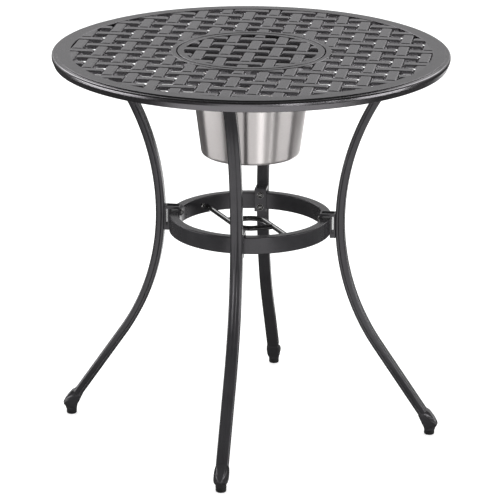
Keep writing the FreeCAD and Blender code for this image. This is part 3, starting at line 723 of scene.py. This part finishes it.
def graph_with_inputs(name, inputs):
    tree = bpy.data.node_groups.new(name, "GeometryNodeTree")
    tree.interface.new_socket(name="Geometry", in_out="OUTPUT", socket_type="NodeSocketGeometry")
    for label, kind in inputs:
        tree.interface.new_socket(name=label, in_out="INPUT", socket_type="NodeSocket" + kind)
    graph = Graph(tree)
    entry = graph.add("NodeGroupInput")
    outputs = entry.socket.node.outputs
    return graph, {socket.name: Wire(graph, socket) for socket in outputs if socket.name}


def source_of(graph, wire):
    return graph.add("GeometryNodeObjectInfo", None, {"Object": wire}, "Geometry")


def close_graph(graph, copies, finish):
    """Turn copies into one plain mesh with a finish."""
    real = graph.add("GeometryNodeRealizeInstances", None, {"Geometry": copies})
    painted = graph.add("GeometryNodeSetMaterial", None, {"Geometry": real, "Material": finish})
    graph.add("NodeGroupOutput", None, {"Geometry": painted})
    return graph.tree


def weave_graph(pierced):
    graph, given = graph_with_inputs("basket_weave_ring" if pierced else "basket_weave_disc", (
        ("Pitch", "Float"), ("Inner", "Float"), ("Outer", "Float"), ("Crossings", "Int"),
        ("Long Bar", "Object"), ("Cross Bar", "Object"), ("Joint", "Object"),
        ("Long Tile", "Object"), ("Cross Tile", "Object"), ("Finish", "Material")))
    pitch = given["Pitch"]
    span = (given["Crossings"] - 1.0) * pitch
    grid = graph.add("GeometryNodeMeshGrid", None, {
        "Size X": span, "Size Y": span, "Vertices X": given["Crossings"], "Vertices Y": given["Crossings"]})
    along = graph.add("ShaderNodeSeparateXYZ", None, {0: graph.add("GeometryNodeInputPosition")}, "X")
    across = along.other("Y")
    column = graph.math("ROUND", along / pitch)
    row = graph.math("ROUND", across / pitch)
    odd = graph.math("FLOORED_MODULO", column + row, 2.0)
    even = 1.0 - odd

    def disc(radius):
        solid = graph.add("GeometryNodeMeshCylinder", None, {
            "Vertices": 160, "Radius": radius, "Depth": 0.04})
        return graph.add("GeometryNodeTransform", None, {"Geometry": solid, "Translation": TRIM_MIDDLE})

    def trim(operation, meshes):
        settings = {"operation": operation, "solver": "MANIFOLD"}
        return graph.add("GeometryNodeMeshBoolean", settings, meshes)

    def trimmed(points, unit, chosen):
        copies = graph.add("GeometryNodeInstanceOnPoints", None, {
            "Points": points, "Instance": source_of(graph, unit), "Selection": chosen})
        solid = graph.add("GeometryNodeRealizeInstances", None, {"Geometry": copies})
        kept = trim("INTERSECT", {"Mesh 2": [solid, disc(given["Outer"])]})
        if pierced:
            kept = trim("DIFFERENCE", {"Mesh 1": kept, "Mesh 2": disc(given["Inner"])})
        return kept

    def lines(along_x, along_y):
        start = graph.vector(span * (-0.5 * along_x), span * (-0.5 * along_y), 0.0)
        step = graph.vector(pitch * along_x, pitch * along_y, 0.0)
        return graph.add("GeometryNodeMeshLine", None, {
            "Count": given["Crossings"], "Start Location": start, "Offset": step})

    parts = [
        trimmed(lines(1.0, 0.0), given["Long Bar"], True),
        trimmed(lines(0.0, 1.0), given["Cross Bar"], True),
        trimmed(grid, given["Joint"], True),
        trimmed(grid, given["Long Tile"], odd),
        trimmed(grid, given["Cross Tile"], even),
    ]
    joined = graph.add("GeometryNodeJoinGeometry", None, {"Geometry": parts})
    return close_graph(graph, joined, given["Finish"])


def grown(shape, name, tree, values):
    """Run a graph once and add its result to a mesh as plain geometry."""
    seed = placed(name + "_seed", bpy.data.meshes.new(name + "_seed"))
    modifier = seed.modifiers.new("graph", "NODES")
    modifier.node_group = tree
    for item in tree.interface.items_tree:
        if item.in_out == "INPUT" and item.name in values:
            modifier[item.identifier] = values[item.name]
    mesh = plain_mesh(seed)
    bpy.data.objects.remove(seed)
    shape.from_mesh(mesh)
    bpy.data.meshes.remove(mesh)
    return shape


weave_units = {"Pitch": PITCH * MM, "Long Bar": long_bar, "Cross Bar": cross_bar, "Joint": joint,
               "Long Tile": long_tile, "Cross Tile": cross_tile, "Finish": weave_coat_painted_lighter}
print("weave graph ready")

# %% [markdown]
# The top's weave has fifteen crossings each way. Its edges end inside the rim and the
# collar, so no gap shows.

# %% Weave of the top
top_values = dict(weave_units, Inner=0.1385, Outer=0.335, Crossings=15)
shape = grown(bmesh.new(), "top_weave", weave_graph(True), top_values)
settle("top_weave", shape, weave_coat_painted_lighter, "frame", ["tabletop_weave"], 30)

# %% [markdown]
# ## Lid
# The lid is a smaller casting with the same weave, so its pattern lines up with the
# top's when it lies in the hole. A flat band runs round it. It could be cut out of the
# top, but the same graph without its hole gives it a clean edge.

# %% Lid
FLANGE_TOP = 702.2
LID_HOLE = 119.5
LID_OUTSIDE = 131.5
lid_profile = eased((
    (LID_HOLE, FLANGE_TOP, 0.3), (LID_OUTSIDE, FLANGE_TOP, 0.6),
    (LID_OUTSIDE, TOP, 1.0), (LID_HOLE, TOP, 1.0),
))
settle("lid_band", spun(lid_profile, 224), cast_coat, "lid", ["bucket_lid"])
lid_values = dict(weave_units, Inner=0.0, Outer=0.125, Crossings=7)
shape = grown(bmesh.new(), "lid_weave", weave_graph(False), lid_values)
settle("lid_weave", shape, weave_coat_painted_lighter, "lid", angle=30)
for unit in (long_bar, cross_bar, joint, long_tile, cross_tile):
    bpy.data.objects.remove(unit)

# %% [markdown]
# ## Ice bucket
# The bucket is spun from steel sheet a millimetre thick. Its wall slopes in, its floor
# has a round corner, and a flat flange round its mouth hangs on the collar's ledge. A
# cone with a Solidify modifier would do for the wall. A turned profile makes the floor,
# the corner, the wall and the flange in one.

# %% Bucket
BUCKET_BASE = 521
SHEET = 1
FLANGE_EDGE = 129.5
bucket_profile = eased((
    (0, BUCKET_BASE, 0), (88.5, BUCKET_BASE, 7.5), (112.2, SEAT, 0.8), (FLANGE_EDGE, SEAT, 0.5),
    (FLANGE_EDGE, FLANGE_TOP, 0.5), (111.2, FLANGE_TOP, 1.6),
    (87.6, BUCKET_BASE + SHEET, 6.6), (0, BUCKET_BASE + SHEET, 0),
), 8)
bucket_nodes = ["ice_bucket_wall", "ice_bucket_floor", "ice_bucket_flange"]
settle("bucket_shell", spun(bucket_profile, 256), steel, "bucket", bucket_nodes, 40)

# %% [markdown]
# ## Legs
# Each leg is one bar with the same section from end to end: round corners, a groove
# down the middle of its outer face between two soft ridges, and a fine groove on each
# side. A curve with a bevel profile could make it. Here the section is carried along
# two true arcs that meet at the waist and a straight run to the foot, so that the bar
# fits its bracket, plate and shoe exactly. Then it is cut level at the top.

# %% Legs
DIRECTIONS = (("right", 0.0), ("back", 90.0), ("left", 180.0), ("front", 270.0))
WAIST = Vector((164.6, 0, 402.0))
UPPER_BEND = 455.0
LOWER_BEND = 415.0
SPLAY = math.radians(34.2)
RUN = 153.0
PLATE_BASE = 688.0
LEG_HALF = 8.25

half_section = (
    (-LEG_HALF, 0.0), (-LEG_HALF, 7.6), (-8.05, 9.0), (-7.4, 10.2), (-6.2, 10.9), (-4.6, 11.0),
    (-3.3, 11.0), (-2.9, 10.8), (-2.4, 10.05), (-2.2, 9.8), (-2.0, 10.05), (-1.5, 10.8), (-1.1, 11.0),
    (4.6, 11.0), (6.0, 10.8), (7.1, 10.2), (7.8, 9.3), (8.15, 8.0), (LEG_HALF, 6.6), (8.2, 5.2),
    (8.0, 4.0), (7.7, 3.2), (7.3, 2.5), (7.05, 1.7), (6.95, 0.8), (6.92, 0.0),
)
leg_profile = list(half_section) + [(u, -v) for u, v in reversed(half_section[1:-1])]


def settle_four(name, make, finish, node, angle):
    """One piece for each leg, turned to its place."""
    for direction, azimuth in DIRECTIONS:
        settle(name + direction, make(), finish, "frame", [node + direction], angle, azimuth)


def arc_station(bend, angle):
    """A station on an arc that leaves the waist upright. A negative angle goes down."""
    out, up = bend * (1 - math.cos(angle)), bend * math.sin(angle)
    origin = Vector((WAIST.x + out, 0, WAIST.z + up))
    return origin, Vector((math.cos(angle), 0, -math.sin(angle))), Vector((0, 1, 0))


def leg_stations():
    rise = math.asin((PLATE_BASE + 6 - WAIST.z) / UPPER_BEND)
    stations = [arc_station(UPPER_BEND, rise * step / 40) for step in range(40, 0, -1)]
    stations += [arc_station(LOWER_BEND, -SPLAY * step / 36) for step in range(37)]
    origin, across, side = stations[-1]
    down = Vector((math.sin(SPLAY), 0, -math.cos(SPLAY)))
    return stations + [(origin + down * (RUN + 0.5), across, side)]


def leg_bar():
    shape = bmesh.new()
    swept(shape, leg_profile, leg_stations())
    cut = bmesh.ops.bisect_plane(
        shape, geom=shape.verts[:] + shape.edges[:] + shape.faces[:], dist=1e-6,
        plane_co=(0, 0, PLATE_BASE * MM), plane_no=(0, 0, 1), clear_outer=True)
    cut_edges = [item for item in cut["geom_cut"] if isinstance(item, bmesh.types.BMEdge)]
    bmesh.ops.holes_fill(shape, edges=cut_edges, sides=0)
    return shape


settle_four("leg_bar_", leg_bar, bar_coat, "leg_", 36)

# %% [markdown]
# ## Spreader ring
# A flat bar rolled into a ring, with soft edges, braces the four legs at the waist. A
# bevelled curve would make it too. Turning a profile keeps its four corners alike.

# %% Ring
RING_INSIDE = 131
RING_OUTSIDE = 147.5
RING_UNDER = 376
RING_TOP = 407
ring_profile = eased((
    (RING_INSIDE, RING_UNDER, 2.0), (RING_OUTSIDE, RING_UNDER, 2.0),
    (RING_OUTSIDE, RING_TOP, 2.0), (RING_INSIDE, RING_TOP, 2.0),
), 6)
settle("ring_bar", spun(ring_profile, 256), bar_coat, "frame", ["spreader_ring"], 40)

# %% [markdown]
# ## Brackets
# A cast clamp holds the ring to each leg: a pad against the leg, a slot, a plate
# outside the ring, an arm over it with a shallow pocket, and a leaf inside it. Such a
# block is easy to build from cells. Only the walls between a full and an empty cell
# are kept, and then every edge is rounded.

# %% Brackets
BRACKET_CUTS = (
    (128, RING_INSIDE, 146.8, 150.3, 153.3, 160), (-11, -7.5, 7.5, 11), (371, 380, 411, 413.3, 415.5))
BRACKET_ROUND = 0.6


def leg_face_at(height):
    """Radius of the leg's inner face at a height near the waist."""
    drop = WAIST.z - height
    bend = (LOWER_BEND if drop > 0 else UPPER_BEND) + LEG_HALF
    return WAIST.x - LEG_HALF + bend - math.sqrt(bend * bend - drop * drop)


def from_cells(shape, cuts, full):
    """Walls of the full cells between cuts along X, Y and Z."""
    corners = {}

    def corner(key):
        if key not in corners:
            corners[key] = shape.verts.new(Vector([cuts[axis][key[axis]] for axis in range(3)]) * MM)
        return corners[key]

    counts = [len(row) - 1 for row in cuts]
    inside = {(i, j, k) for i in range(counts[0]) for j in range(counts[1])
              for k in range(counts[2]) if full(i, j, k)}
    for cell in sorted(inside):
        for axis in range(3):
            for side in (0, 1):
                beside = list(cell)
                beside[axis] += 1 if side else -1
                if tuple(beside) in inside:
                    continue
                wall = []
                for a, b in ((0, 0), (1, 0), (1, 1), (0, 1)):
                    key = list(cell)
                    key[axis] += side
                    key[(axis + 1) % 3] += a
                    key[(axis + 2) % 3] += b
                    wall.append(corner(tuple(key)))
                shape.faces.new(wall if side else reversed(wall))
    return corners


def bracket_full(i, j, k):
    """Leaf, gap, plate, slot and pad along X; foot, tall middle, arm's floor and lip along Z."""
    if k == 3:
        return not (j == 1 and i in (1, 2, 3))
    if k == 2:
        return True
    return i in (0, 2, 4) or (i == 3 and k == 0)


def bracket():
    shape = bmesh.new()
    corners = from_cells(shape, BRACKET_CUTS, bracket_full)
    for key, vert in corners.items():
        if key[0] == 5:
            vert.co.x = leg_face_at(BRACKET_CUTS[2][key[2]]) * MM
    bmesh.ops.recalc_face_normals(shape, faces=shape.faces)
    bmesh.ops.dissolve_limit(shape, angle_limit=math.radians(2), verts=shape.verts, edges=shape.edges)
    sharp = [edge for edge in shape.edges if edge.is_manifold and edge.calc_face_angle(0) > 0.6]
    bmesh.ops.bevel(shape, geom=sharp, offset=BRACKET_ROUND * MM, segments=3, profile=0.5,
                    affect="EDGES", clamp_overlap=True)
    return shape


settle_four("bracket_", bracket, bar_coat, "ring_bracket_", 30)

# %% [markdown]
# ## Bolts and washers
# Dome-head bolts with a socket hold the brackets and the guide. Each could be placed by
# hand, but a change would then have to be made ten times. So one bolt is turned at its
# radius, and a small graph sets copies round the axis, at a height and a first angle.

# %% Bolt, washer and their graph
HEAD_RADIUS = 5.5
BRACKET_BOLTS = (380, 403)


def ring_graph():
    graph, given = graph_with_inputs("copies_round_axis", (
        ("Unit", "Object"), ("Count", "Int"), ("Height", "Float"), ("Turn", "Float"),
        ("Finish", "Material")))
    start = graph.vector(0.0, 0.0, given["Height"])
    points = graph.add("GeometryNodeMeshLine", None, {
        "Count": given["Count"], "Start Location": start, "Offset": (0, 0, 0)})
    angle = graph.add("GeometryNodeInputIndex") * (2 * math.pi) / given["Count"] + given["Turn"]
    copies = graph.add("GeometryNodeInstanceOnPoints", None, {
        "Points": points, "Instance": source_of(graph, given["Unit"]),
        "Rotation": graph.vector(0.0, 0.0, angle)})
    return close_graph(graph, copies, given["Finish"])


def facing_middle(seat):
    """Lay what is turned round Z along X at a radius, with its foot outward."""
    return Matrix.Translation((seat * MM, 0, 0)) @ Matrix.Rotation(-math.pi / 2, 4, "Y")


def socket_bolt(seat, tip):
    """A dome head with a round socket, and a shank."""
    place = facing_middle(seat)
    turns = [math.radians(9 * step) for step in range(8)]
    dome = [(HEAD_RADIUS * math.cos(turn), 3.4 * math.sin(turn) + 0.6) for turn in turns]
    head = [(0, 0.0), (HEAD_RADIUS, 0.0)] + dome + [(2.9, 4.2), (2.6, 4.1), (2.5, 2.2), (0, 1.7)]
    shape = spun(head, 30, place)
    shank = [(0, 0.0), (3.0, 0.0), (3.0, seat - tip + 0.8), (2.3, seat - tip), (0, seat - tip)]
    turned(shape, shank, place, 20)
    return unit_object("socket_bolt", shape)


def flat_washer(seat):
    washer_profile = eased(((3.2, 0, 0.15), (6.5, 0, 0.3), (6.5, 1.2, 0.4), (3.2, 1.2, 0.2)), 3)
    return unit_object("flat_washer", spun(washer_profile, 40, facing_middle(seat)))


copies_graph = ring_graph()


def repeated(name, unit, count, heights, turn, node):
    """Copies of a bolt or washer round the axis at each height, as one piece."""
    whole = bmesh.new()
    for height in heights:
        grown(whole, name, copies_graph, {
            "Unit": unit, "Count": count, "Height": height * MM, "Turn": math.radians(turn),
            "Finish": bolt_metal})
    bpy.data.objects.remove(unit)
    settle(name, whole, bolt_metal, "frame", [node], 35)


repeated("bracket_bolts", socket_bolt(126.8, 150.3), 4, BRACKET_BOLTS, 0, "ring_bracket_bolts")
repeated("bracket_washers", flat_washer(128.0), 4, BRACKET_BOLTS, 0, "ring_bracket_washers")
repeated("guide_bolt_pair", socket_bolt(130.9, 144.5), 2, (391.5,), 140.31, "guide_bolts")

# %% [markdown]
# ## Pole guide
# Two rods run in from the ring and hook round the middle from opposite sides, so that
# together they close a loop for an umbrella's pole. Each is a round section swept
# along a straight, an arc and a short tail that is welded to the other rod.

# %% Rods of the pole guide
ROD = 4.75
LOOP = 30.6
SWEEP = math.radians(83.2)
GUIDE_HEIGHT = 388.0
TAIL = 32.0
ROD_START = -129.0
STRAIGHT_END = -2.0
spokes = [math.radians(15 * step) for step in range(24)]
round_section = [(ROD * math.cos(spoke), ROD * math.sin(spoke)) for spoke in spokes]


def rod_stations():
    up = Vector((0, 0, 1))
    stations = [(Vector((x, -LOOP, GUIDE_HEIGHT)), Vector((0, -1, 0)), up)
                for x in (ROD_START, STRAIGHT_END)]
    for step in range(25):
        angle = SWEEP * step / 24 - math.pi / 2
        out = Vector((math.cos(angle), math.sin(angle), 0))
        stations.append((out * LOOP + up * GUIDE_HEIGHT, out, up))
    origin, out, _ = stations[-1]
    ahead = Vector((-out.y, out.x, 0))
    return stations + [(origin + ahead * TAIL, out, up)]


for label, turn in (("a", 301.8), ("b", 121.8)):
    shape = bmesh.new()
    swept(shape, round_section, rod_stations())
    settle("guide_rod_" + label, shape, rod_black, "frame", ["guide_hook_" + label], 50, turn)

# %% [markdown]
# ## Plates and hex bolts under the top
# A plate is welded on each leg's top and bolted up into the bosses with hex bolts. A
# box with a Bevel modifier would do. Stacked outlines give the plate round corners and
# a fine chamfer at once, and the bolts' heads are stacked hexagons.

# %% Plates and hex bolts
HEX_ROWS = ((0.86, 684.0), (1.0, 684.7), (1.0, PLATE_BASE))
HEX_CORNER = 10 / math.sqrt(3)


def plate_outline(half_x, half_y, corner):
    sides = ((-1, -1), (1, -1), (1, 1), (-1, 1))
    return eased([(BOSS_RADIUS + x * half_x, y * half_y, corner) for x, y in sides], 6)


def hexagon(side, reach, height):
    middle = Vector((BOSS_RADIUS, BOSS_SIDE * side, height))
    turns = [math.radians(60 * step) for step in range(6)]
    return [middle + Vector((math.cos(turn), math.sin(turn), 0)) * reach for turn in turns]


def leg_top_plate():
    shape = bmesh.new()
    outer, inner = plate_outline(16, 33, 5.0), plate_outline(15.5, 32.5, 4.5)
    levels = ((inner, PLATE_BASE), (outer, PLATE_BASE + 0.5), (outer, PLATE_TOP - 0.5), (inner, PLATE_TOP))
    stacked(shape, [[(x, y, height) for x, y in ring] for ring, height in levels])
    return shape


settle_four("leg_top_plate_", leg_top_plate, bar_coat, "leg_plate_", 30)

shape = bmesh.new()
for quarter in range(4):
    spin = Matrix.Rotation(math.pi / 2 * quarter, 3, "Z")
    for side in (-1, 1):
        rings = [hexagon(side, HEX_CORNER * share, height) for share, height in HEX_ROWS]
        stacked(shape, [[spin @ point for point in ring] for ring in rings])
settle("plate_hex_bolts", shape, bolt_metal, "frame", ["leg_plate_bolts"], 25)

# %% [markdown]
# ## Shoes
# A cast shoe closes each leg. It starts as the leg's section with a small lip, swells
# sideways, draws out to a pointed toe and ends in a round sole. On each side a ridge
# runs from the leg's fine groove to the toe, and outside it the side steps in, so that
# the outer face stands out as a leaf. It could be sculpted, but rows of numbers keep it
# exact. Each row gives the inner and outer line, the half width, the leaf's half width,
# how far forward the ridge lies, and how round the section is. A smooth curve runs
# through the rows.

# %% Shoes
SHOE_ROWS = (
    (314.6, 38.6, 328.6, 48.2, 11.0, 8.6, -0.27, 0.0),
    (314.7, 37.0, 330.0, 47.4, 11.8, 8.6, -0.18, 0.0),
    (316.6, 32.9, 335.2, 44.3, 12.6, 8.2, 0.02, 0.0),
    (318.8, 28.3, 339.9, 38.9, 13.0, 7.4, 0.21, 0.0),
    (321.0, 23.6, 344.2, 33.5, 13.0, 6.2, 0.40, 0.0),
    (323.3, 18.8, 347.6, 28.2, 12.6, 4.8, 0.62, 0.0),
    (325.0, 15.4, 349.8, 23.8, 11.8, 3.4, 0.82, 0.0),
    (325.5, 13.0, 350.5, 21.0, 11.0, 2.6, 0.93, 0.05),
    (325.5, 11.4, 349.2, 17.4, 10.4, 3.0, 0.90, 0.35),
    (325.5, 9.8, 346.7, 12.9, 10.0, 4.0, 0.60, 0.8),
    (325.5, 8.0, 345.2, 8.6, 9.8, 5.0, 0.3, 1.0),
    (326.1, 7.0, 344.4, 7.0, 9.2, 5.0, 0.3, 1.0),
)
LEDGE = 2.6
LEDGE_START = -0.27


def on_curve(a, b, c, d, t):
    """A smooth way from b to c that heeds the numbers before and after them."""
    bent = (2 * a - 5 * b + 4 * c - d) * t * t + (3 * b - a - 3 * c + d) * t ** 3
    return 0.5 * (2 * b + (c - a) * t + bent)


def between_rows(rows, fine):
    """The rows, with extra rows on a smooth curve between them."""
    result = []
    for number in range(len(rows) - 1):
        before, here = rows[max(number - 1, 0)], rows[number]
        after, beyond = rows[number + 1], rows[min(number + 2, len(rows) - 1)]
        for step in range(fine):
            result.append([on_curve(*four, step / fine) for four in zip(before, here, after, beyond)])
    result.append(list(rows[-1]))
    return result


def shoe_section(depth, width, leaf, ridge, roundness):
    """Half of a section from its inner side to the leaf's middle, then its mirror image."""
    edge = min(ridge * depth, depth - 2.6)
    fade_in = min(1.0, max(0.0, (ridge - LEDGE_START) / 0.25))
    fade_out = min(1.0, max(0.0, (1.0 - ridge) / 0.2))
    step = LEDGE * fade_in * fade_out
    low = width - 0.1 - step
    half = [(-depth, 0.0), (-depth, width * 0.55), (-depth * 0.96, width * 0.80),
            (-depth * 0.84, width * 0.94), (-depth * 0.62, width),
            (edge - 0.6, width), (edge, width - 0.1), (edge + 0.6, low)]
    for part in (0.35, 0.7):
        sag = 1.2 * part * (1 - part) * step
        half.append((edge + 0.6 + (depth - 1.6 - edge) * part, low + (leaf - low) * part - sag))
    half += [(depth - 1.0, leaf), (depth - 0.3, leaf - 0.8), (depth - 0.05, leaf * 0.5), (depth, 0.0)]
    points = []
    for number, (u, v) in enumerate(half):
        angle = math.pi * (1 - number / (len(half) - 1))
        u += (depth * math.cos(angle) - u) * roundness
        v += (width * math.sin(angle) - v) * roundness
        points.append((u, v))
    return points + [(u, -v) for u, v in reversed(points[1:-1])]


def shoe():
    rings = []
    for in_x, in_z, out_x, out_z, width, leaf, ridge, roundness in between_rows(SHOE_ROWS, 4):
        inner, outer = Vector((in_x, 0, in_z)), Vector((out_x, 0, out_z))
        across = (outer - inner).normalized()
        depth = (outer - inner).length / 2
        section = shoe_section(depth, width, leaf, ridge, roundness)
        rings.append([(inner + outer) / 2 + across * u + Vector((0, v, 0)) for u, v in section])
    shape = bmesh.new()
    stacked(shape, rings)
    return shape


settle_four("shoe_", shoe, bar_coat, "foot_casting_", 28)

# %% [markdown]
# ## Glides
# A black plastic glide is pressed into the sole of each shoe, with a fine groove
# round its middle. A plain cylinder would miss the groove, so a profile is turned.

# %% Glides
GLIDE_REACH = 335.2
GLIDE_ROUND = 9.6
glide_profile = eased((
    (0, 0, 0), (8.6, 0, 1.2), (GLIDE_ROUND, 2.2, 0.8), (GLIDE_ROUND, 4.4, 0.2), (9.1, 4.7, 0.1),
    (9.1, 5.2, 0.1), (GLIDE_ROUND, 5.5, 0.2), (GLIDE_ROUND, 7.0, 0.4), (0, 7.0, 0),
), 4)


def glide():
    return spun(glide_profile, 48, Matrix.Translation((GLIDE_REACH * MM, 0, 0)))


settle_four("glide_", glide, plastic, "foot_glide_", 30)
